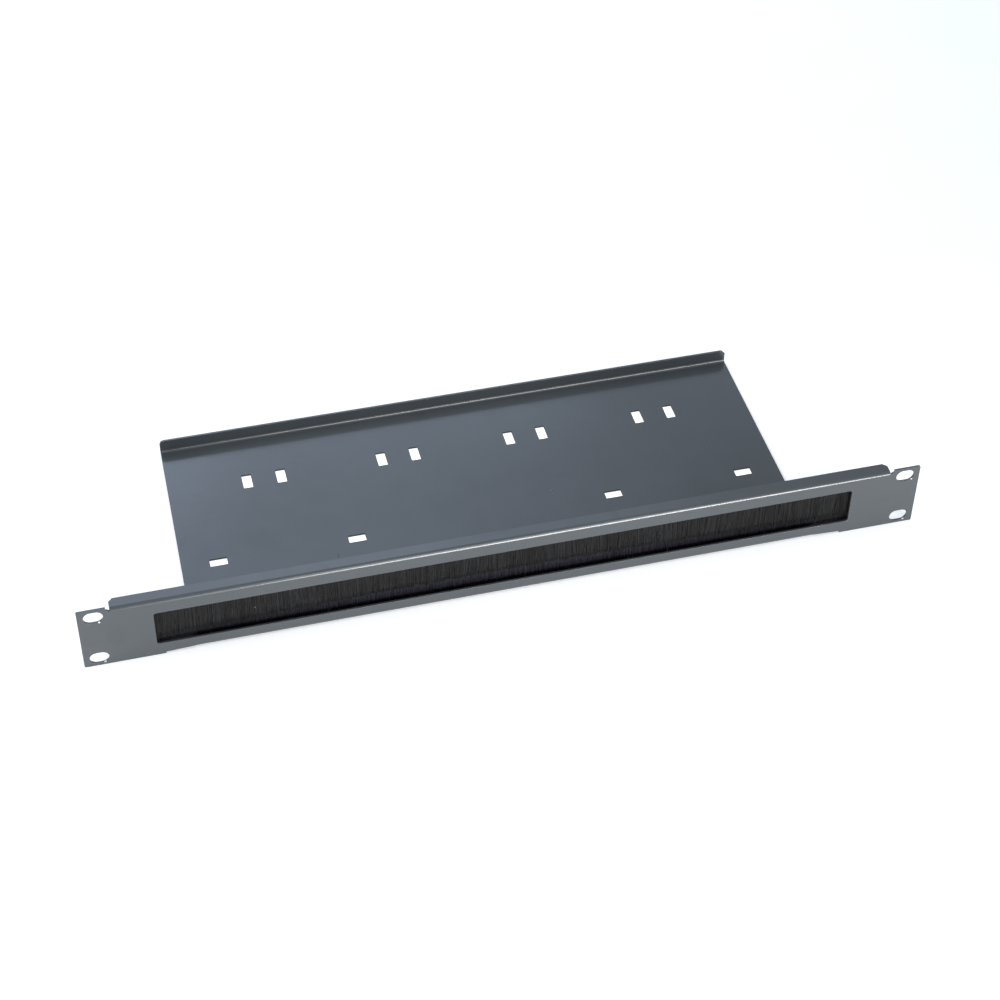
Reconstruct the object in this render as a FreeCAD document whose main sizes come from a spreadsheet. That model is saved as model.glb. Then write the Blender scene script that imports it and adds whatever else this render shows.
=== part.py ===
import FreeCAD, Part
import math
import os

import Sketcher

# One-unit rack panel with a brush-filled cable opening and a cable tray folded
# out behind it. Millimetres. X runs across the rack, Y from the front face to
# the rear lip, Z up. The origin is the middle of the base of the whole part.

doc = FreeCAD.newDocument("brush_entry_panel")

# ---------------------------------------------------------------- dimensions
SIZES = [
    # front panel
    ("panel_width", 482.6),
    ("panel_height", 43.2),
    ("sheet", 1.2),
    ("bend_inner", 1.2),
    ("ear_corner", 0.8),
    # ear slots, a rack's hole spacing
    ("slot_across", 465.1),
    ("slot_rise", 31.75),
    ("slot_long", 10.8),
    ("slot_wide", 8.0),
    # cable opening in the front panel
    ("opening_width", 401.6),
    ("opening_low", 8.5),
    ("opening_high", 32.65),
    ("opening_corner", 1.5),
    # top flange
    ("flange_width", 446.8),
    ("flange_top", 41.6),
    ("flange_depth", 8.2),
    ("flange_tilt", 2.5),
    ("flange_chamfer", 2.3),
    # relief between the top flange and each ear
    ("relief_half", 225.5),
    ("relief_mid", 224.4),
    ("relief_floor", 41.55),
    ("relief_dip", 41.15),
    ("relief_root", 40.2),
    # relief between the tray fold and each ear, along the lower rail
    ("lower_half", 196.5),
    ("lower_step", 1.1),
    ("lower_rise", 1.9),
    # tray
    ("tray_width", 360.0),
    ("tray_depth", 160.5),
    ("tray_under", 0.6),
    ("tray_trim", 1.6),
    ("trim_start", 45.0),
    ("lip_top", 10.4),
    ("lip_inner", 1.7),
    ("lip_round", 3.0),
    ("lip_clip", 2.2),
    # tie holes near the lip, long side front to back
    ("rear_hole_y", 122.2),
    ("rear_hole_across", 5.7),
    ("rear_hole_along", 11.3),
    ("rear_pair_outer", 121.4),
    ("rear_pair_inner", 39.65),
    ("rear_pair_half", 10.2),
    # tie slots near the panel, long side left to right
    ("front_hole_y", 60.3),
    ("front_hole_across", 10.2),
    ("front_hole_along", 5.7),
    ("front_hole_outer", 158.3),
    ("front_hole_inner", 77.4),
    ("hole_corner", 0.3),
    # strip brush: channel
    ("channel_length", 412.0),
    ("channel_front", 2.2),
    ("channel_rear", 7.0),
    ("channel_top", 39.6),
    ("channel_low", 33.9),
    ("channel_wall", 0.7),
    ("channel_bend", 1.6),
    ("channel_pinch", 0.4),
    ("channel_lip", 2.0),
    # strip brush: core wire
    ("wire_length", 411.0),
    ("wire_across", 1.3),
    ("wire_z", 37.5),
    # strip brush: filaments
    ("brush_length", 410.0),
    ("brush_play", 0.05),
    ("brush_front", 2.5),
    ("brush_rear", 6.8),
    ("brush_flare", 13.0),
    ("brush_low", 2.7),
    ("brush_split", 4.5),
    ("brush_end_tip", 9.7),
    ("brush_mid_tip", 15.0),
    # mounting tape
    ("tape_length", 400.0),
    ("tape_low", 35.9),
    ("tape_high", 39.2),
]

dims = doc.addObject("Spreadsheet::Sheet", "dims")
for row, (name, value) in enumerate(SIZES, start=1):
    dims.set("A%d" % row, name)
    dims.set("B%d" % row, repr(value))
    dims.setAlias("B%d" % row, name)
doc.recompute()


class Size:
    """A length with its value and the sheet formula that drives it."""

    def __init__(self, value, text):
        self.value = value
        self.text = text

    @staticmethod
    def of(other):
        if isinstance(other, Size):
            return other
        return Size(float(other), repr(float(other)))

    def __add__(self, other):
        other = Size.of(other)
        return Size(self.value + other.value, "(%s + %s)" % (self.text, other.text))

    def __sub__(self, other):
        other = Size.of(other)
        return Size(self.value - other.value, "(%s - %s)" % (self.text, other.text))

    def __mul__(self, other):
        other = Size.of(other)
        return Size(self.value * other.value, "(%s * %s)" % (self.text, other.text))

    def __truediv__(self, other):
        return Size(self.value / other, "(%s / %r)" % (self.text, other))

    def __neg__(self):
        return Size(-self.value, "(0 - %s)" % self.text)


def size(name):
    return Size(float(dims.get(name)), "dims.%s" % name)


def turned(name, kind):
    """The sine, cosine or tangent of an angle in the sheet, in degrees."""
    angle = math.radians(float(dims.get(name)))
    return Size(getattr(math, kind)(angle), "%s(dims.%s * 1 deg)" % (kind, name))


# ------------------------------------------------------------------- helpers
def new_body(label):
    body = doc.addObject("PartDesign::Body", label)
    body.Label = label
    return body


def plane(body, role):
    for feature in body.Origin.OriginFeatures:
        if feature.Role == role:
            return feature
    raise RuntimeError("no plane " + role)


def new_sketch(body, name, role):
    sketch = body.newObject("Sketcher::SketchObject", name)
    sketch.AttachmentSupport = [(plane(body, role), "")]
    sketch.MapMode = "FlatFace"
    return sketch


def drive(sketch, kind, *where):
    """Adds one dimension whose last item is a Size, and ties it to the sheet."""
    *place, length = where
    index = sketch.addConstraint(Sketcher.Constraint(kind, *place, length.value))
    sketch.setExpression("Constraints[%d]" % index, length.text)


def fix_point(sketch, geo, end, x, y):
    for kind, length in (("DistanceX", x), ("DistanceY", y)):
        if abs(length.value) < 1e-9:
            # a point on an axis of the sketch
            axis = -2 if kind == "DistanceX" else -1
            sketch.addConstraint(Sketcher.Constraint("PointOnObject", geo, end, axis))
        else:
            drive(sketch, kind, -1, 1, geo, end, length)


def outline(sketch, points, arcs=None):
    """A closed outline. points are (Size, Size) corners in order. arcs maps the
    number of the edge that leaves a corner to (centre x, centre y, radius, turn),
    turn +1 for an arc that runs counter-clockwise and -1 for clockwise."""
    arcs = arcs or {}
    ends = []
    count = len(points)
    for i in range(count):
        (x0, y0), (x1, y1) = points[i], points[(i + 1) % count]
        start = FreeCAD.Vector(x0.value, y0.value, 0)
        stop = FreeCAD.Vector(x1.value, y1.value, 0)
        if i in arcs:
            cx, cy, radius, turn = arcs[i]
            middle = FreeCAD.Vector(cx.value, cy.value, 0)
            a0 = math.atan2(start.y - middle.y, start.x - middle.x)
            a1 = math.atan2(stop.y - middle.y, stop.x - middle.x)
            if turn < 0:
                a0, a1 = a1, a0
            while a1 < a0:
                a1 += 2 * math.pi
            circle = Part.Circle(middle, FreeCAD.Vector(0, 0, 1), radius.value)
            geo = sketch.addGeometry(Part.ArcOfCircle(circle, a0, a1), False)
            ends.append((geo, 1, 2) if turn > 0 else (geo, 2, 1))
        else:
            geo = sketch.addGeometry(Part.LineSegment(start, stop), False)
            ends.append((geo, 1, 2))
    for i in range(count):
        geo, _, stop = ends[i]
        after, first, _ = ends[(i + 1) % count]
        sketch.addConstraint(Sketcher.Constraint("Coincident", geo, stop, after, first))
    for i in range(count):
        geo, first, _ = ends[i]
        fix_point(sketch, geo, first, *points[i])
    for i, (cx, _, radius, _) in arcs.items():
        (x0, y0), (x1, y1) = points[i], points[(i + 1) % count]
        chord = math.hypot(x1.value - x0.value, y1.value - y0.value)
        if chord > 2 * radius.value - 1e-6:
            # a half circle, held by its centre
            drive(sketch, "DistanceX", -1, 1, ends[i][0], 3, cx)
        else:
            drive(sketch, "Radius", ends[i][0], radius)


def rounded(sketch, x0, y0, x1, y1, radius):
    """A rectangle with four rounded corners."""
    points = [
        (x0 + radius, y0), (x1 - radius, y0),
        (x1, y0 + radius), (x1, y1 - radius),
        (x1 - radius, y1), (x0 + radius, y1),
        (x0, y1 - radius), (x0, y0 + radius),
    ]
    arcs = {
        1: (x1 - radius, y0 + radius, radius, 1),
        3: (x1 - radius, y1 - radius, radius, 1),
        5: (x0 + radius, y1 - radius, radius, 1),
        7: (x0 + radius, y0 + radius, radius, 1),
    }
    outline(sketch, points, arcs)


def obround(sketch, cx, cy, length, width):
    """A slot with two full round ends, long side along x."""
    radius = width / 2
    reach = (length - width) / 2
    points = [
        (cx - reach, cy - radius), (cx + reach, cy - radius),
        (cx + reach, cy + radius), (cx - reach, cy + radius),
    ]
    arcs = {1: (cx + reach, cy, radius, 1), 3: (cx - reach, cy, radius, 1)}
    outline(sketch, points, arcs)


def pad(body, sketch, name, length, midplane=False, reverse=False):
    feature = body.newObject("PartDesign::Pad", name)
    feature.Profile = sketch
    feature.setExpression("Length", length.text)
    feature.Midplane = midplane
    feature.Reversed = reverse
    doc.recompute()
    return feature


def pocket(body, sketch, name, through=False, length=None, reverse=False):
    before = body.Shape.Volume
    feature = body.newObject("PartDesign::Pocket", name)
    feature.Profile = sketch
    if through:
        feature.Type = "ThroughAll"
        feature.Midplane = True
    else:
        feature.setExpression("Length", length.text)
        feature.Reversed = reverse
    doc.recompute()
    removed = before - body.Shape.Volume
    print("%s removes %.2f mm3" % (name, removed))
    if removed < 1.0:
        raise RuntimeError(name + " cuts nothing")
    return feature


def edges_near(shape, spots):
    """Names of the edges whose middle lies within 0.05 mm of each spot."""
    names = []
    for spot in spots:
        for index, edge in enumerate(shape.Edges, start=1):
            middle = edge.valueAt((edge.FirstParameter + edge.LastParameter) / 2)
            if middle.distanceToPoint(FreeCAD.Vector(*spot)) < 0.05:
                names.append("Edge%d" % index)
    if len(names) != len(spots):
        raise RuntimeError("edges not found: %r" % (names,))
    return names


ZERO = Size.of(0)
sheet = size("sheet")
inner = size("bend_inner")
outer = inner + sheet
depth = size("tray_depth")

# ------------------------------------------------------------ the folded sheet
panel = new_body("panel_tray")

# Front panel: ears at full height, a shallow relief beside each end of the top
# flange and of the tray fold, and plain edges where the two folds begin.
half = size("panel_width") / 2
height = size("panel_height")
corner = size("ear_corner")
fold_low = size("tray_under") + outer
fold_high = size("flange_top") - outer
tray_half = size("tray_width") / 2
flange_half = size("flange_width") / 2
lower_half = size("lower_half")

right_side = [
    (tray_half, fold_low),
    (tray_half, size("lower_rise")),
    (lower_half, size("lower_step")),
    (lower_half, ZERO),
    (half - corner, ZERO),
    (half, corner),
    (half, height - corner),
    (half - corner, height),
    (size("relief_half"), height),
    (size("relief_half"), size("relief_floor")),
    (size("relief_mid"), size("relief_dip")),
    (flange_half, size("relief_root")),
    (flange_half, fold_high),
]
left_side = [(-x, z) for x, z in reversed(right_side)]
blank = new_sketch(panel, "front_blank", "XZ_Plane")
outline(
    blank,
    right_side + left_side,
    {
        4: (half - corner, corner, corner, 1),
        6: (half - corner, height - corner, corner, 1),
        18: (-(half - corner), height - corner, corner, 1),
        20: (-(half - corner), corner, corner, 1),
    },
)
pad(panel, blank, "front_plate", sheet, reverse=True)

# Top flange, folded back a little short of square, so that it rises to the rear.
top = size("flange_top")
sine, cosine, slope = (turned("flange_tilt", kind) for kind in ("sin", "cos", "tan"))
above = (outer - outer * sine, fold_high + outer * cosine)
below = (outer - inner * sine, fold_high + inner * cosine)
tail_top = above[1] + (size("flange_depth") - above[0]) * slope
tail_low = below[1] + (size("flange_depth") - below[0]) * slope
flange = new_sketch(panel, "flange_section", "YZ_Plane")
outline(
    flange,
    [
        (ZERO, fold_high),
        (sheet, fold_high),
        below,
        (size("flange_depth"), tail_low),
        (size("flange_depth"), tail_top),
        above,
    ],
    {
        1: (outer, fold_high, inner, -1),
        5: (outer, fold_high, outer, 1),
    },
)
pad(panel, flange, "top_flange", size("flange_width"), midplane=True)

# Tray, folded back from the lower rail, and its upturned rear lip.
under = size("tray_under")
floor = under + sheet
lip_inner = size("lip_inner")
lip_outer = lip_inner + sheet
lip_low = under + lip_outer
tray = new_sketch(panel, "tray_section", "YZ_Plane")
outline(
    tray,
    [
        (ZERO, fold_low),
        (outer, under),
        (depth - lip_outer, under),
        (depth, lip_low),
        (depth, size("lip_top")),
        (depth - sheet, size("lip_top")),
        (depth - sheet, lip_low),
        (depth - lip_outer, floor),
        (outer, floor),
        (sheet, fold_low),
    ],
    {
        0: (outer, fold_low, outer, 1),
        2: (depth - lip_outer, lip_low, lip_outer, 1),
        6: (depth - lip_outer, lip_low, lip_inner, -1),
        8: (outer, fold_low, inner, -1),
    },
)
pad(panel, tray, "tray_and_lip", size("tray_width"), midplane=True)

# Long opening for the brush.
opening = new_sketch(panel, "opening_outline", "XZ_Plane")
reach = size("opening_width") / 2
rounded(opening, -reach, size("opening_low"), reach, size("opening_high"), size("opening_corner"))
pocket(panel, opening, "brush_opening", length=sheet + 1.0)

# Two obround slots in each ear.
slots = new_sketch(panel, "ear_slot_outline", "XZ_Plane")
middle = height / 2
for side in (-1, 1):
    x = size("slot_across") / 2 if side > 0 else -(size("slot_across") / 2)
    for z in (middle - size("slot_rise") / 2, middle + size("slot_rise") / 2):
        obround(slots, x, z, size("slot_long"), size("slot_wide"))
pocket(panel, slots, "ear_slots", length=sheet + 1.0)

# Eight tie holes near the lip, in four pairs.
ties = new_sketch(panel, "rear_tie_outline", "XY_Plane")
across = size("rear_hole_across") / 2
along = size("rear_hole_along") / 2
for pair in (size("rear_pair_outer"), size("rear_pair_inner")):
    for x in (pair - size("rear_pair_half"), pair + size("rear_pair_half")):
        for place in (x, -x):
            rounded(
                ties,
                place - across, size("rear_hole_y") - along,
                place + across, size("rear_hole_y") + along,
                size("hole_corner"),
            )
pocket(panel, ties, "rear_tie_holes", through=True)

# Four tie slots near the panel.
loops = new_sketch(panel, "front_tie_outline", "XY_Plane")
across = size("front_hole_across") / 2
along = size("front_hole_along") / 2
for x in (size("front_hole_outer"), size("front_hole_inner")):
    for place in (x, -x):
        rounded(
            loops,
            place - across, size("front_hole_y") - along,
            place + across, size("front_hole_y") + along,
            size("hole_corner"),
        )
pocket(panel, loops, "front_tie_slots", through=True)

# The tray's left edge runs in a little towards the lip.
wedge = new_sketch(panel, "left_trim_outline", "XY_Plane")
overrun = Size.of(5)
trimmed = tray_half - size("tray_trim")
outline(
    wedge,
    [
        (-tray_half, size("trim_start")),
        (-trimmed, depth - lip_outer),
        (-trimmed, depth + overrun),
        (-(tray_half + overrun), depth + overrun),
        (-(tray_half + overrun), size("trim_start")),
    ],
)
last = pocket(panel, wedge, "left_trim", through=True)

# Flange ends cut off at 45 degrees.
z = (tail_top.value + tail_low.value) / 2
clip = panel.newObject("PartDesign::Chamfer", "flange_ends")
clip.Base = (
    last,
    edges_near(
        last.Shape,
        [(s * flange_half.value, size("flange_depth").value, z) for s in (-1, 1)],
    ),
)
clip.setExpression("Size", size("flange_chamfer").text)
doc.recompute()

# Lip corners: the left one rounded, the right one clipped.
y = (depth - sheet / 2).value
round_off = panel.newObject("PartDesign::Fillet", "lip_left_corner")
round_off.Base = (clip, edges_near(clip.Shape, [(-trimmed.value, y, size("lip_top").value)]))
round_off.setExpression("Radius", size("lip_round").text)
doc.recompute()
clip_off = panel.newObject("PartDesign::Chamfer", "lip_right_corner")
clip_off.Base = (
    round_off,
    edges_near(round_off.Shape, [(tray_half.value, y, size("lip_top").value)]),
)
clip_off.setExpression("Size", size("lip_clip").text)
doc.recompute()

# ----------------------------------------------------------------- strip brush
# Channel: a thin strip bent to an upturned U, its two lips crimped inwards.
front = size("channel_front")
rear = size("channel_rear")
ceiling = size("channel_top")
low = size("channel_low")
wall = size("channel_wall")
bend = size("channel_bend")
inside = bend - wall
pinch = size("channel_pinch")
lip = low + size("channel_lip")
centre = (front + rear) / 2

channel = new_body("brush_channel")
section = new_sketch(channel, "channel_section", "YZ_Plane")
outline(
    section,
    [
        (rear, lip),
        (rear, ceiling - bend),
        (rear - bend, ceiling),
        (front + bend, ceiling),
        (front, ceiling - bend),
        (front, lip),
        (front + pinch, low),
        (front + pinch + wall, low),
        (front + wall, lip),
        (front + wall, ceiling - bend),
        (front + bend, ceiling - wall),
        (rear - bend, ceiling - wall),
        (rear - wall, ceiling - bend),
        (rear - wall, lip),
        (rear - pinch - wall, low),
        (rear - pinch, low),
    ],
    {
        1: (rear - bend, ceiling - bend, bend, 1),
        3: (front + bend, ceiling - bend, bend, 1),
        9: (front + bend, ceiling - bend, inside, -1),
        11: (rear - bend, ceiling - bend, inside, -1),
    },
)
pad(channel, section, "channel_strip", size("channel_length"), midplane=True)

# Core wire, over which the filaments are folded.
wire = new_body("brush_core_wire")
ring = new_sketch(wire, "wire_section", "YZ_Plane")
geo = ring.addGeometry(
    Part.Circle(
        FreeCAD.Vector(centre.value, size("wire_z").value, 0),
        FreeCAD.Vector(0, 0, 1),
        size("wire_across").value / 2,
    ),
    False,
)
fix_point(ring, geo, 3, centre, size("wire_z"))
drive(ring, "Radius", geo, size("wire_across") / 2)
pad(wire, ring, "wire_run", size("wire_length"), midplane=True)

# Filaments: packed round the wire, squeezed at the channel's mouth, then
# spreading to a soft curtain that hangs behind the opening.
play = size("brush_play")
bristles = new_body("brush_bristles")
curtain = new_sketch(bristles, "curtain_section", "YZ_Plane")
outline(
    curtain,
    [
        (rear - wall - play, lip),
        (rear - wall - play, ceiling - bend),
        (rear - bend, ceiling - wall - play),
        (front + bend, ceiling - wall - play),
        (front + wall + play, ceiling - bend),
        (front + wall + play, lip),
        (front + pinch + wall + play, low),
        (size("brush_front"), size("brush_flare")),
        (size("brush_front"), size("brush_low")),
        (size("brush_rear"), size("brush_low")),
        (size("brush_rear"), size("brush_flare")),
        (rear - pinch - wall - play, low),
    ],
    {
        1: (rear - bend, ceiling - bend, inside - play, 1),
        3: (front + bend, ceiling - bend, inside - play, 1),
    },
)
geo = curtain.addGeometry(
    Part.Circle(
        FreeCAD.Vector(centre.value, size("wire_z").value, 0),
        FreeCAD.Vector(0, 0, 1),
        size("wire_across").value / 2 + play.value,
    ),
    False,
)
fix_point(curtain, geo, 3, centre, size("wire_z"))
drive(curtain, "Radius", geo, size("wire_across") / 2 + play)
pad(bristles, curtain, "curtain", size("brush_length"), midplane=True)

# The front filaments end higher, along a shallow arch.
span = size("brush_length") / 2
rise = size("brush_mid_tip").value - size("brush_end_tip").value
arch_radius = (span.value ** 2 + rise ** 2) / (2 * rise)
arch = new_sketch(bristles, "arch_outline", "XZ_Plane")
arch_low = size("brush_low") - 1.0
end_tip = size("brush_end_tip")
points = [
    (-span, arch_low),
    (span, arch_low),
    (span, end_tip),
    (-span, end_tip),
]
arch_size = Size(
    arch_radius,
    "((dims.brush_length / 2) ^ 2 + (dims.brush_mid_tip - dims.brush_end_tip) ^ 2)"
    " / (2 * (dims.brush_mid_tip - dims.brush_end_tip))",
)
outline(
    arch,
    points,
    {2: (ZERO, size("brush_mid_tip") - arch_radius, arch_size, 1)},
)
pocket(bristles, arch, "front_tips", length=size("brush_split"))

# ---------------------------------------------------------------- tape
# Thin foam tape between the back of the upper rail and the channel.
tape = doc.addObject("Part::Box", "mounting_tape")
tape.Label = "mounting_tape"
tape.setExpression("Length", "dims.tape_length")
tape.setExpression("Width", "dims.channel_front - dims.sheet")
tape.setExpression("Height", "dims.tape_high - dims.tape_low")
tape.setExpression("Placement.Base.x", "0 - dims.tape_length / 2")
tape.setExpression("Placement.Base.y", "dims.sheet - dims.tray_depth / 2")
tape.setExpression("Placement.Base.z", "dims.tape_low")

# ---------------------------------------------------------------- placement
# Everything above is drawn from the front face back; the part's own origin is
# in the middle of its depth.
for body in (panel, channel, wire, bristles):
    body.setExpression("Placement.Base.y", "0 - dims.tray_depth / 2")

doc.recompute()

# ---------------------------------------------------------------- checks
for item in doc.Objects:
    state = " ".join(item.State)
    if "Invalid" in state or "Error" in state:
        raise RuntimeError("%s: %s" % (item.Name, state))
    if item.TypeId == "Sketcher::SketchObject":
        free = item.solve()
        if free != 0:
            raise RuntimeError("%s: sketch does not solve (%d)" % (item.Name, free))

os.makedirs("parts", exist_ok=True)
for item in (panel, channel, wire, bristles, tape):
    shape = item.Shape
    if shape.isNull() or not shape.isValid() or len(shape.Solids) != 1:
        raise RuntimeError(item.Label + ": bad shape")
    box = shape.BoundBox
    print(
        "%-16s %10.1f mm3  x %.2f..%.2f  y %.2f..%.2f  z %.2f..%.2f"
        % (item.Label, shape.Volume, box.XMin, box.XMax, box.YMin, box.YMax, box.ZMin, box.ZMax)
    )
    shape.exportStep("parts/%s.step" % item.Label)
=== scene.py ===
import math

import bpy
import numpy as np
from mathutils import Matrix, Vector


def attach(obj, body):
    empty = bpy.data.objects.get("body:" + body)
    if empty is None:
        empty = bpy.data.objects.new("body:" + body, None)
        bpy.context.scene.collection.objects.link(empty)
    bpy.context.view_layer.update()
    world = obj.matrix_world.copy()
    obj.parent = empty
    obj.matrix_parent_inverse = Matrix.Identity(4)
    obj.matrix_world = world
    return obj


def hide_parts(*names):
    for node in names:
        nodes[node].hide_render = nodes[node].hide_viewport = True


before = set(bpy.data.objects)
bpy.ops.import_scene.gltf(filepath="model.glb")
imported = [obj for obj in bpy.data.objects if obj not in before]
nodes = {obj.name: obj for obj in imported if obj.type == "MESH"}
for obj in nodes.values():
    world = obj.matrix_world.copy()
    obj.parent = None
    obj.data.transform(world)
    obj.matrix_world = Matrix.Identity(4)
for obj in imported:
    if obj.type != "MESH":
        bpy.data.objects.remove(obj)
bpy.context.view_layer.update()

MM = 0.001
FRONT = -80.25  # the panel's front face, mm


# ---------------------------------------------------------------- materials
class Finish:
    """A material's node tree, built up in code. Object coordinates are the row frame, in metres."""

    def __init__(self, name):
        self.material = bpy.data.materials.new(name)
        self.material.use_nodes = True
        self.tree = self.material.node_tree
        self.tree.nodes.clear()
        self.out = self.node("ShaderNodeOutputMaterial")
        self.shader = self.node("ShaderNodeBsdfPrincipled")
        self.link(self.shader.outputs["BSDF"], self.out.inputs["Surface"])
        self.place = self.node("ShaderNodeTexCoord").outputs["Object"]

    def node(self, kind, **values):
        made = self.tree.nodes.new(kind)
        for name, value in values.items():
            setattr(made, name, value)
        return made

    def link(self, a, b):
        self.tree.links.new(a, b)

    def set(self, **values):
        for name, value in values.items():
            self.shader.inputs[name.replace("_", " ")].default_value = value

    def stretched(self, x, y, z):
        """The place, scaled along each axis, so that a noise read there is drawn out."""
        m = self.node("ShaderNodeMapping")
        m.inputs["Scale"].default_value = (x, y, z)
        self.link(self.place, m.inputs["Vector"])
        return m.outputs["Vector"]

    def noise(self, scale, detail=2.0, rough=0.5, at=None, twist=0.0):
        n = self.node("ShaderNodeTexNoise")
        n.inputs["Scale"].default_value = scale
        n.inputs["Detail"].default_value = detail
        n.inputs["Roughness"].default_value = rough
        n.inputs["Distortion"].default_value = twist
        self.link(at or self.place, n.inputs["Vector"])
        return n.outputs["Fac"]

    def remap(self, value, a, b, c, d, smooth=False):
        m = self.node("ShaderNodeMapRange", clamp=True)
        if smooth:
            m.interpolation_type = "SMOOTHSTEP"
        for name, v in (("From Min", a), ("From Max", b), ("To Min", c), ("To Max", d)):
            m.inputs[name].default_value = v
        self.link(value, m.inputs["Value"])
        return m.outputs["Result"]

    def math(self, kind, a, b):
        m = self.node("ShaderNodeMath", operation=kind)
        for slot, v in ((0, a), (1, b)):
            if isinstance(v, (int, float)):
                m.inputs[slot].default_value = v
            else:
                self.link(v, m.inputs[slot])
        return m.outputs["Value"]

    def mix(self, factor, a, b):
        """A colour between a and b, each a colour or a socket."""
        m = self.node("ShaderNodeMix", data_type="RGBA")
        self.link(factor, m.inputs[0])
        for slot, v in ((6, a), (7, b)):
            if isinstance(v, tuple):
                m.inputs[slot].default_value = (*v, 1.0)
            else:
                self.link(v, m.inputs[slot])
        return m.outputs[2]

    def near(self, point, radius, wobble, scale, squash=(1.0, 1.0, 1.0)):
        """1 inside a ragged ball about a point in mm, 0 outside it. A squash below 1 draws it out along that axis."""
        away = self.node("ShaderNodeVectorMath", operation="DISTANCE")
        self.link(self.stretched(*squash), away.inputs[0])
        away.inputs[1].default_value = tuple(v * k * MM for v, k in zip(point, squash))
        ragged = self.math(
            "ADD",
            away.outputs["Value"],
            self.remap(self.noise(scale, 2.0), 0.2, 0.8, -wobble * MM, wobble * MM),
        )
        return self.remap(ragged, radius * MM * 0.75, radius * MM * 1.1, 1.0, 0.0)

    def rounded(self, radius):
        """The surface's normal with its sharp edges rounded over, and how near an edge a place is, 0 to 1."""
        b = self.node("ShaderNodeBevel", samples=8)
        b.inputs["Radius"].default_value = radius
        turn = self.node("ShaderNodeVectorMath", operation="DOT_PRODUCT")
        self.link(b.outputs["Normal"], turn.inputs[0])
        self.link(self.node("ShaderNodeNewGeometry").outputs["Normal"], turn.inputs[1])
        return b.outputs["Normal"], self.remap(turn.outputs["Value"], 0.78, 0.99, 1.0, 0.0)

    def bump(self, height, depth, strength=1.0, before=None):
        b = self.node("ShaderNodeBump")
        b.inputs["Strength"].default_value = strength
        b.inputs["Distance"].default_value = depth
        self.link(height, b.inputs["Height"])
        if before is not None:
            self.link(before, b.inputs["Normal"])
        return b.outputs["Normal"]

    def colour(self, socket):
        self.link(socket, self.shader.inputs["Base Color"])

    def roughness(self, socket):
        self.link(socket, self.shader.inputs["Roughness"])

    def normal(self, socket):
        self.link(socket, self.shader.inputs["Normal"])


def painted_sheet():
    """Satin powder paint, dark blue grey: fine orange peel, faint clouding, a few rubbed places, paler cut edges that
    carry a painted edge highlight, and small painted glints.
    """
    f = Finish("painted_sheet")
    clouds = f.noise(14.0, 3.0, 0.55)
    grain = f.noise(2600.0, 2.0, 0.6)
    tone = f.math(
        "ADD",
        f.remap(clouds, 0.3, 0.7, 0.0, 0.7),
        f.remap(grain, 0.3, 0.7, 0.0, 0.3),
    )
    paint = f.mix(tone, (0.0465, 0.0542, 0.0602), (0.0550, 0.0636, 0.0702))
    # Hand marks and dust, long and soft.
    marks = f.remap(f.noise(1.0, 3.0, 0.6, f.stretched(38, 38, 90), 1.2), 0.58, 0.78, 0.0, 1.0, True)
    paint = f.mix(f.math("MULTIPLY", marks, 0.35), paint, (0.038, 0.044, 0.049))
    wipe = f.near((-221.0, FRONT, 21.0), 7.0, 5.0, 120.0)
    paint = f.mix(f.math("MULTIPLY", wipe, 0.22), paint, (0.034, 0.040, 0.044))
    # Paler over cut edges, more so in places: the paint is thinner there, and the paler colour is also a painted
    # highlight along the edges.
    smooth, edge = f.rounded(0.00018)
    edge_wear_and_sheen = f.remap(f.noise(70.0, 3.0, 0.6), 0.35, 0.65, 0.15, 1.0)
    paint = f.mix(f.math("MULTIPLY", f.math("MULTIPLY", edge, edge_wear_and_sheen), 0.5), paint, (0.105, 0.120, 0.128))
    scuff = f.near((-90.9, FRONT + 48.8, 1.8), 0.55, 0.12, 900.0, (1.0, 0.2, 0.2))
    paint = f.mix(f.math("MULTIPLY", scuff, 0.7), paint, (0.016, 0.019, 0.022))
    # Painted glints: small pale spots at the edges of the four ear slots, and a faint one at the lower right corner of
    # the opening.
    painted_glints = None
    for point, radius, amount in (
        ((-229.7, FRONT + 0.1, 33.6), 0.75, 1.0),
        ((-229.8, FRONT + 0.1, 2.0), 0.75, 1.0),
        ((236.9, FRONT + 0.1, 34.1), 0.5, 1.0),
        ((236.1, FRONT + 0.1, 2.0), 0.5, 1.0),
        ((200.3, FRONT + 0.1, 8.6), 0.6, 0.12),
    ):
        spot = f.math("MULTIPLY", f.near(point, radius, 0.35, 1500.0), amount)
        painted_glints = spot if painted_glints is None else f.math("MAXIMUM", painted_glints, spot)
    f.colour(f.mix(painted_glints, paint, (0.62, 0.62, 0.60)))
    satin = f.remap(f.noise(60.0, 3.0, 0.6), 0.3, 0.7, 0.19, 0.24)
    satin = f.math("ADD", satin, f.math("MULTIPLY", marks, 0.06))
    f.roughness(satin)
    peel = f.noise(950.0, 2.0, 0.5)
    f.normal(f.bump(grain, 0.0000015, 1.0, f.bump(peel, 0.000004, 1.0, smooth)))
    f.set(IOR=1.7)
    return f.material


def channel_steel():
    """Zinc-plated strip steel: rolling lines along its length, soft clouding and a duller bloom."""
    f = Finish("channel_steel")
    rolled = f.noise(1.0, 4.0, 0.6, f.stretched(9, 2200, 2200))
    bloom = f.noise(90.0, 3.0, 0.6, None, 0.8)
    zinc = f.mix(f.remap(rolled, 0.3, 0.7, 0.0, 1.0), (0.42, 0.43, 0.44), (0.60, 0.61, 0.62))
    f.colour(f.mix(f.remap(bloom, 0.45, 0.7, 0.0, 0.6, True), zinc, (0.40, 0.42, 0.45)))
    f.roughness(f.remap(bloom, 0.3, 0.7, 0.30, 0.46))
    f.set(Metallic=1.0)
    f.normal(f.bump(rolled, 0.000006))
    return f.material


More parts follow.
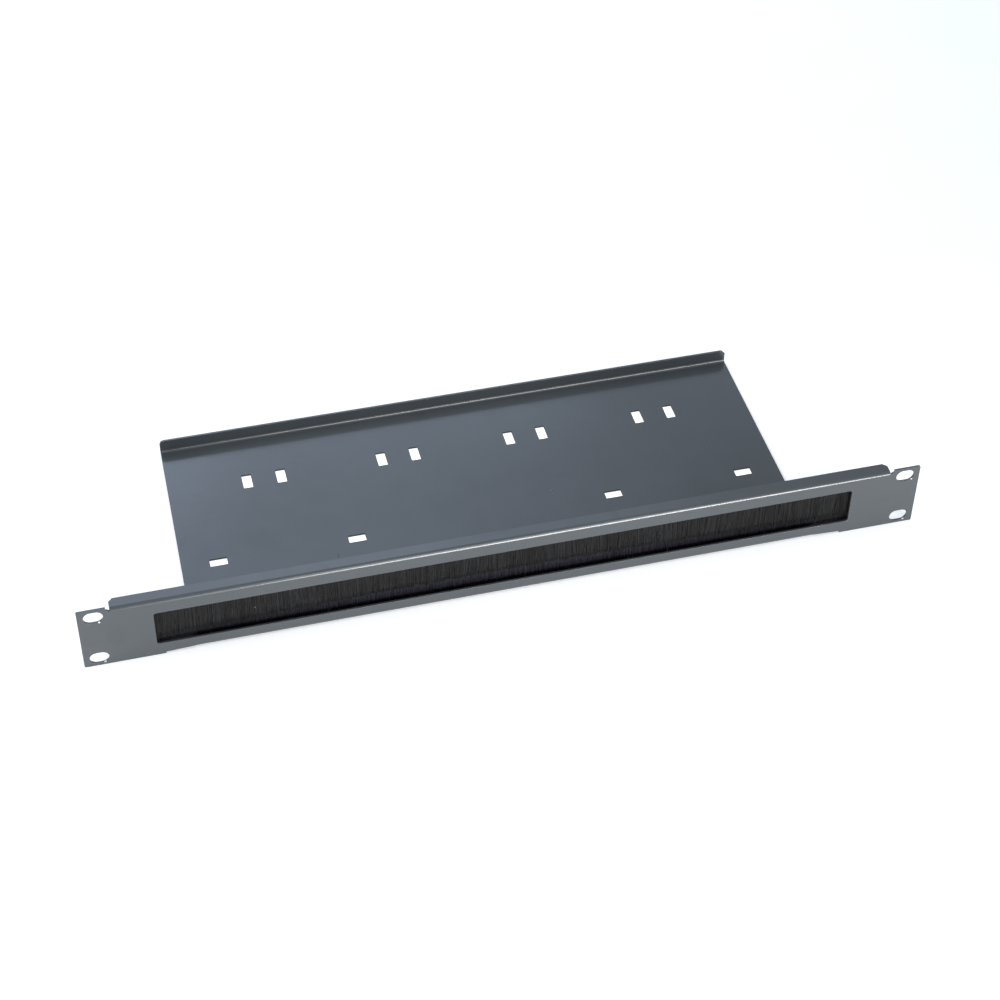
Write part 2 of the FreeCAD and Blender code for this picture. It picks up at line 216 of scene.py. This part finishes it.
def wire_steel():
    """Plain drawn wire: die lines along it and a grey film."""
    f = Finish("wire_steel")
    drawn = f.noise(1.0, 4.0, 0.65, f.stretched(6, 5200, 5200))
    film = f.noise(220.0, 3.0)
    f.colour(f.mix(f.remap(drawn, 0.3, 0.7, 0.0, 1.0), (0.34, 0.34, 0.33), (0.52, 0.52, 0.51)))
    f.roughness(f.remap(film, 0.3, 0.7, 0.26, 0.42))
    f.set(Metallic=1.0)
    f.normal(f.bump(drawn, 0.000004))
    return f.material


def tape_foam():
    """Black closed-cell foam tape: small open cells on its cut sides, with painted shade in their hollows."""
    f = Finish("tape_foam")
    cells = f.node("ShaderNodeTexVoronoi")
    cells.inputs["Scale"].default_value = 3200.0
    f.link(f.place, cells.inputs["Vector"])
    pits = f.remap(cells.outputs["Distance"], 0.0, 0.6, 0.0, 1.0)
    # The cells' hollows are darker: painted shade.
    f.colour(f.mix(pits, (0.012, 0.012, 0.013), (0.045, 0.045, 0.047)))
    f.roughness(f.remap(pits, 0.0, 1.0, 0.9, 0.7))
    f.normal(f.bump(pits, 0.00008))
    return f.material


def filament_black(name, dark, light, low, high, speck=None):
    """Nylon filaments. Each has its own tone, from the mesh, and the tone drifts a little along it."""
    f = Finish(name)
    own = f.node("ShaderNodeAttribute", attribute_name="tone").outputs["Fac"]
    drift = f.noise(1.0, 2.0, 0.5, f.stretched(2400, 2400, 260))
    tone = f.math("ADD", f.math("MULTIPLY", own, 0.8), f.math("MULTIPLY", drift, 0.2))
    black = f.mix(tone, dark, light)
    if speck is not None:  # a speck of lint caught on them
        black = f.mix(f.near(speck, 0.55, 0.2, 1500.0), black, (0.40, 0.40, 0.39))
    f.colour(black)
    f.roughness(f.remap(own, 0.0, 1.0, high, low))
    f.set(Specular_IOR_Level=0.35)
    return f.material


FINISHES = {
    "panel_tray": painted_sheet(),
    "brush_channel": channel_steel(),
    "brush_core_wire": wire_steel(),
    "mounting_tape": tape_foam(),
}
for name, finish in FINISHES.items():
    mesh = nodes[name].data
    mesh.materials.clear()
    mesh.materials.append(finish)


# ---------------------------------------------------------------- filaments
# Each filament is folded over the core wire: one half hangs in front of it, one behind.
HALF = 204.8  # half the brush's length
MOUTH = 33.9  # lower lips of the channel
LOW = 13.0  # by here the filaments have spread to their full depth
WIRE_Y, WIRE_Z, WIRE_R = 4.6, 37.5, 0.65  # y from the front face here


def ripple(x, rng, lengths, sizes):
    """A smooth wandering value along x, the same each run."""
    total = np.zeros_like(x)
    for length, size in zip(lengths, sizes):
        knots = rng.normal(0.0, 1.0, int(2 * HALF / length) + 4)
        at = (x + HALF) / length + 1
        i = np.clip(np.floor(at).astype(int), 0, len(knots) - 2)
        t = at - i
        t = t * t * (3 - 2 * t)
        total += size * (knots[i] * (1 - t) + knots[i + 1] * t)
    return total


def arch(x):
    """Where the front filaments end: low at the ends of the opening, higher in its middle."""
    rise = 15.0 - 9.7
    r = (205.0**2 + rise**2) / (2 * rise)
    return 15.0 - (r - np.sqrt(np.maximum(r * r - x * x, 0.0)))


def filaments(name, count, seed, front, radius, material, clumping=40, layer_y=(4.60, 6.62)):
    """One bunch of filaments as one mesh of thin three-sided rods, each with its own lean, wave, length and tone."""
    rng = np.random.default_rng(seed)
    shared = np.random.default_rng(clumping)  # the clumping is the same for most bunches
    x0 = (np.arange(count) + rng.uniform(0.0, 1.0, count)) / count * 2 * HALF - HALF
    if not front:  # packed closer towards the ends, past the tray's edges
        extra = count // 14
        x0[::14][:extra] = rng.choice((-1.0, 1.0), extra) * rng.uniform(174.0, HALF, extra)
    lean = ripple(x0, shared, (46.0, 17.0, 6.0, 2.4), (0.55, 0.42, 0.26, 0.20))
    phase = ripple(x0, shared, (9.0, 2.2), (1.8, 0.9))
    sway = 0.10 + 0.06 * np.abs(ripple(x0, shared, (12.0,), (1.0,)))
    if not front:
        lean = lean * 0.6
    clump = ripple(x0, shared, (5.2, 1.1, 0.42), (0.03, 0.05, 0.10))
    depth = rng.uniform(0.0, 1.0, count)
    if front:
        spread = 2.68 + depth * (4.42 - 2.68)
        mouth = 3.52 + depth * (4.50 - 3.52)
        tip = arch(x0) + rng.normal(0.0, 0.22, count) + ripple(x0, shared, (2.6,), (0.16,))
        tip += np.where(rng.uniform(0, 1, count) < 0.04, rng.uniform(-1.0, 0.3, count), 0.0)
        side = -1.0
    else:
        spread = layer_y[0] + depth * (layer_y[1] - layer_y[0])
        mouth = 4.68 + (spread - 4.60) / 2.02
        tip = 2.95 + np.abs(rng.normal(0.0, 0.35, count))
        tip = np.where(np.abs(x0) > 178.0, 2.1 + (tip - 2.95) * 0.5, tip)
        side = 1.0
    layer = rng.uniform(0.18, 0.62, count)  # how far out on the wire it folds
    splay = np.sign(x0) * np.clip((np.abs(x0) - 197.0) / (HALF - 197.0), 0.0, 1.0) ** 2 * 1.3
    levels = (1.0, 0.8, 0.6, 0.4, 0.2) if front else (1.0, 0.68, 0.34)  # of the free length, from the tip up
    rows = []
    free = MOUTH - tip
    own = rng.normal(0.0, 0.22, count)
    wave = rng.uniform(11.0, 21.0, count)
    for level in levels:
        z = MOUTH - free * level
        down = (MOUTH - z) / (MOUTH - LOW)
        fan = np.clip(down, 0.0, 1.0)
        fan = fan * (1.6 - 0.6 * fan)
        y = mouth + (spread - mouth) * fan
        x = x0 + (lean + own) * np.clip(down, 0, 1.45) ** 1.4
        x = x + sway * np.sin(z / wave * 2 * math.pi + phase) * np.clip(down * 2.0, 0, 1)
        x = x + splay * np.clip(down, 0, 1.45) ** 1.2
        rows.append((x, y, z))
    rows.append((x0, mouth, np.full(count, MOUTH + 0.1)))
    beside = WIRE_Y + side * (WIRE_R + layer)
    rows.append((x0, beside, np.full(count, WIRE_Z - 0.9)))
    rows.append((x0, beside, np.full(count, WIRE_Z + 0.1)))
    rows.append((x0, WIRE_Y + side * (0.42 + layer * 0.5), WIRE_Z + 0.42 + layer * 0.62))
    rows.append((x0, np.full(count, WIRE_Y), WIRE_Z + WIRE_R + layer * 0.75))
    path = np.stack([np.stack(r, 1) for r in rows], 1)  # count, rows, 3
    path[:, :, 0] = np.clip(path[:, :, 0], -HALF - 1.7, HALF + 1.7)
    n = path.shape[1]
    along = np.gradient(path, axis=1)
    along /= np.linalg.norm(along, axis=2, keepdims=True)
    across = np.tile(np.array([1.0, 0.0, 0.0]), (count, n, 1))
    across -= along * np.sum(across * along, 2, keepdims=True)
    across /= np.linalg.norm(across, axis=2, keepdims=True)
    other = np.cross(along, across)
    turn = rng.uniform(0, 2 * math.pi, count)
    thick = radius * rng.uniform(0.82, 1.15, count)
    taper = np.ones(n)
    taper[0] = 0.72  # ground tips
    ring = []
    for k in range(3):
        a = turn + k * 2 * math.pi / 3
        ring.append(
            path
            + across * (np.cos(a) * thick)[:, None, None] * taper[None, :, None]
            + other * (np.sin(a) * thick)[:, None, None] * taper[None, :, None]
        )
    verts = np.stack(ring, 2).reshape(-1, 3)  # strand, row, corner
    verts[:, 1] += FRONT
    verts *= MM
    base = (np.arange(count) * n * 3)[:, None, None]
    row = (np.arange(n - 1) * 3)[None, :, None]
    k = np.arange(3)[None, None, :]
    k2 = (k + 1) % 3
    a, b = base + row + k, base + row + k2
    quads = np.stack([a, b, b + 3, a + 3], -1).reshape(-1, 4)
    ends = np.concatenate(
        [
            np.stack([base[:, 0, 0] + 2, base[:, 0, 0] + 1, base[:, 0, 0]], 1),
            np.stack([base[:, 0, 0] + (n - 1) * 3 + i for i in range(3)], 1),
        ]
    )
    mesh = bpy.data.meshes.new(name)
    loops = np.concatenate([quads.ravel(), ends.ravel()]).astype(np.int32)
    starts = np.concatenate(
        [np.arange(len(quads)) * 4, len(quads) * 4 + np.arange(len(ends)) * 3]
    ).astype(np.int32)
    mesh.vertices.add(len(verts))
    mesh.vertices.foreach_set("co", verts.astype(np.float32).ravel())
    mesh.loops.add(len(loops))
    mesh.loops.foreach_set("vertex_index", loops)
    mesh.polygons.add(len(starts))
    mesh.polygons.foreach_set("loop_start", starts)
    smooth = np.ones(len(starts), bool)
    smooth[len(quads):] = False
    mesh.update(calc_edges=True)
    mesh.polygons.foreach_set("use_smooth", smooth)
    tone = np.clip(0.5 + clump + rng.normal(0.0, 0.12, count), 0.0, 1.0)
    attribute = mesh.attributes.new("tone", "FLOAT", "POINT")
    attribute.data.foreach_set("value", np.repeat(tone, n * 3).astype(np.float32))
    mesh.validate()
    mesh.materials.append(material)
    piece = bpy.data.objects.new(name, mesh)
    bpy.context.scene.collection.objects.link(piece)
    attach(piece, "root")
    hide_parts("brush_bristles")
    return piece


front_black = filament_black(
    "bristles_front",
    (0.0095, 0.0092, 0.0094),
    (0.0320, 0.0316, 0.0320),
    0.46,
    0.62,
    (-145.9, FRONT + 2.8, 20.5),
)
# Painted shade: a bluish copy of the filament colour for the rear layer that shows under the front filaments' tips, the
# dark band at the foot of the brush.
shade_black = filament_black(
    "bristles_painted_shade", (0.0215, 0.0195, 0.0295), (0.0365, 0.0335, 0.0490), 0.5, 0.7
)
filaments("bristles_front_a", 3100, 11, True, 0.14, front_black)
filaments("bristles_front_b", 3100, 12, True, 0.14, front_black)
filaments("bristles_rear_a", 3200, 13, False, 0.19, shade_black, 40, (4.60, 5.50))
filaments("bristles_rear_b", 3200, 14, False, 0.19, front_black, 40, (5.20, 6.62))
filaments("bristles_rear_c", 3200, 15, False, 0.19, front_black, 41, (5.00, 6.50))


# ---------------------------------------------------------------- floor
def floor_finish(name, glow, pool=0.0):
    """Pale matt studio board, lit from below like a light table. A pool of more light may fade out around its middle."""
    f = Finish(name)
    f.colour(f.mix(f.remap(f.noise(9.0, 3.0), 0.3, 0.7, 0.0, 1.0), (0.91, 0.91, 0.91), (0.94, 0.94, 0.94)))
    f.set(Roughness=0.9, Specular_IOR_Level=0.1, Emission_Color=(1, 1, 1, 1), Emission_Strength=glow)
    if pool:
        away = f.node("ShaderNodeVectorMath", operation="LENGTH")
        f.link(f.stretched(3.0, 6.0, 0.0), away.inputs[0])
        f.link(f.remap(away.outputs["Value"], 0.9, 1.6, glow + pool, glow, True), f.shader.inputs["Emission Strength"])
    return f.material


floor_mesh = bpy.data.meshes.new("studio_floor")
floor_mesh.from_pydata([(-7, -7, 0), (7, -7, 0), (7, 7, 0), (-7, 7, 0)], [], [(0, 1, 2, 3)])
floor_mesh.materials.append(floor_finish("floor_board", 0.16))
floor = bpy.data.objects.new("studio_floor", floor_mesh)
floor.location = (0, 0, -0.0001)
bpy.context.scene.collection.objects.link(floor)

# A wide, weak pool of light around the part keeps the floor as white as the photograph's
# ground. Only what looks straight at it sees it, so it doesn't light the part.
pool_mesh = bpy.data.meshes.new("studio_pool")
pool_mesh.from_pydata([(-0.6, -0.3, 0), (0.6, -0.3, 0), (0.6, 0.3, 0), (-0.6, 0.3, 0)], [], [(0, 1, 2, 3)])
pool_mesh.materials.append(floor_finish("floor_pool", 0.16, 0.14))
pool = bpy.data.objects.new("studio_pool", pool_mesh)
pool.location = (0.02, -0.04, -0.000075)
bpy.context.scene.collection.objects.link(pool)
pool.visible_diffuse = False
pool.visible_glossy = False
pool.visible_shadow = False

# A lit panel let into the floor under the tray, so that the tie holes read white. Only what looks
# straight at it sees it too, and the holes' walls stay as shaded as they are over the plain floor.
table_mesh = bpy.data.meshes.new("studio_light_table")
table_mesh.from_pydata(
    [(-0.175, 0.007 + FRONT * MM, 0), (0.175, 0.007 + FRONT * MM, 0), (0.175, 0.156 + FRONT * MM, 0), (-0.175, 0.156 + FRONT * MM, 0)],
    [],
    [(0, 1, 2, 3)],
)
table_mesh.materials.append(floor_finish("light_table", 0.85))
table = bpy.data.objects.new("studio_light_table", table_mesh)
table.location = (0, 0, -0.00005)
bpy.context.scene.collection.objects.link(table)
table.visible_diffuse = False
table.visible_glossy = False


# ---------------------------------------------------------------- light
def softbox(name, place, target, width, height, radiance, colour=(1, 1, 1)):
    """A rectangular soft light of that radiance, hidden from the camera itself."""
    data = bpy.data.lights.new(name, "AREA")
    data.shape = "RECTANGLE"
    data.size, data.size_y = width, height
    data.energy = radiance * math.pi * width * height
    data.color = colour
    lamp = bpy.data.objects.new(name, data)
    lamp.location = place
    lamp.rotation_mode = "QUATERNION"
    lamp.rotation_quaternion = (Vector(target) - Vector(place)).to_track_quat("-Z", "Y")
    lamp.visible_camera = False
    bpy.context.scene.collection.objects.link(lamp)
    return lamp


# Three cool panels above and behind, which the tray and the flange mirror.
softbox("back_left", (-0.55, 1.3, 0.8), (-0.55, 1.3, 0.0), 0.9, 0.9, 2.1, (0.82, 1.0, 1.30))
softbox("back_middle", (0.1, 1.3, 0.8), (0.1, 1.3, 0.0), 0.5, 0.9, 1.05, (0.82, 1.0, 1.30))
softbox("back_right", (0.6, 1.3, 0.8), (0.6, 1.3, 0.0), 0.5, 0.9, 0.3, (0.82, 1.0, 1.30))
# Two nearer and higher ones, for the flange, which rises a little to the rear.
softbox("over_left", (-0.10, 0.58, 0.8), (-0.10, 0.58, 0.0), 0.50, 0.30, 1.3, (0.82, 1.0, 1.30))
softbox("over_right", (0.26, 0.58, 0.8), (0.26, 0.58, 0.0), 0.22, 0.30, 0.55, (0.82, 1.0, 1.30))
# Broad fill from the left, and one close light over the floor in front.
softbox("side_left", (-0.85, 0.0, 1.0), (0.0, 0.0, 0.0), 0.6, 0.8, 3.8)
softbox("front_near", (0.08, -0.45, 0.45), (0.08, -0.08, 0.02), 0.35, 0.25, 2.4)
# Far panels, front right: the bright line along the top bend, and light on the lip.
softbox("front_low", (1.02, -4.00, 0.49), (0.0, -0.08, 0.03), 1.50, 0.7, 22.0)
softbox("front_mid", (1.02, -3.97, 1.20), (0.0, -0.08, 0.03), 1.50, 0.7, 14.5)
softbox("front_top", (1.02, -3.85, 1.95), (0.0, -0.08, 0.03), 1.50, 0.7, 7.0)

world = bpy.data.worlds.new("studio")
bpy.context.scene.world = world
world.use_nodes = True
sky = next(n for n in world.node_tree.nodes if n.type == "BACKGROUND")
sky.inputs["Color"].default_value = (0.93, 1.0, 1.09, 1)
sky.inputs["Strength"].default_value = 0.47


# ---------------------------------------------------------------- camera
AZIMUTH, ELEVATION, ROLL = math.radians(-14.365), math.radians(41.787), math.radians(0.474)
LENS, DISTANCE = 77.345, 1245.54
SIDE, UP = 1.288, -52.833
back = Vector(
    (
        math.sin(AZIMUTH) * math.cos(ELEVATION),
        -math.cos(AZIMUTH) * math.cos(ELEVATION),
        math.sin(ELEVATION),
    )
)
right = (-back).cross(Vector((0, 0, 1))).normalized()
above = right.cross(-back)
across = right * math.cos(ROLL) + above * math.sin(ROLL)
upward = above * math.cos(ROLL) - right * math.sin(ROLL)
place = Vector((0, 60.0 + FRONT, 22.0)) + back * DISTANCE - across * SIDE - upward * UP
camera_data = bpy.data.cameras.new("camera")
camera_data.sensor_fit = "AUTO"
camera_data.sensor_width = 36.0
camera_data.lens = LENS
camera_data.shift_x = 0.015
camera_data.shift_y = -0.10
camera_data.clip_start = 0.05
camera_data.clip_end = 50.0
camera = bpy.data.objects.new("camera", camera_data)
camera.matrix_world = Matrix(
    (
        (across.x, upward.x, back.x, place.x * MM),
        (across.y, upward.y, back.y, place.y * MM),
        (across.z, upward.z, back.z, place.z * MM),
        (0, 0, 0, 1),
    )
)
bpy.context.scene.collection.objects.link(camera)
bpy.context.scene.camera = camera
bpy.context.scene.view_settings.view_transform = "Standard"
bpy.context.scene.view_settings.look = "None"
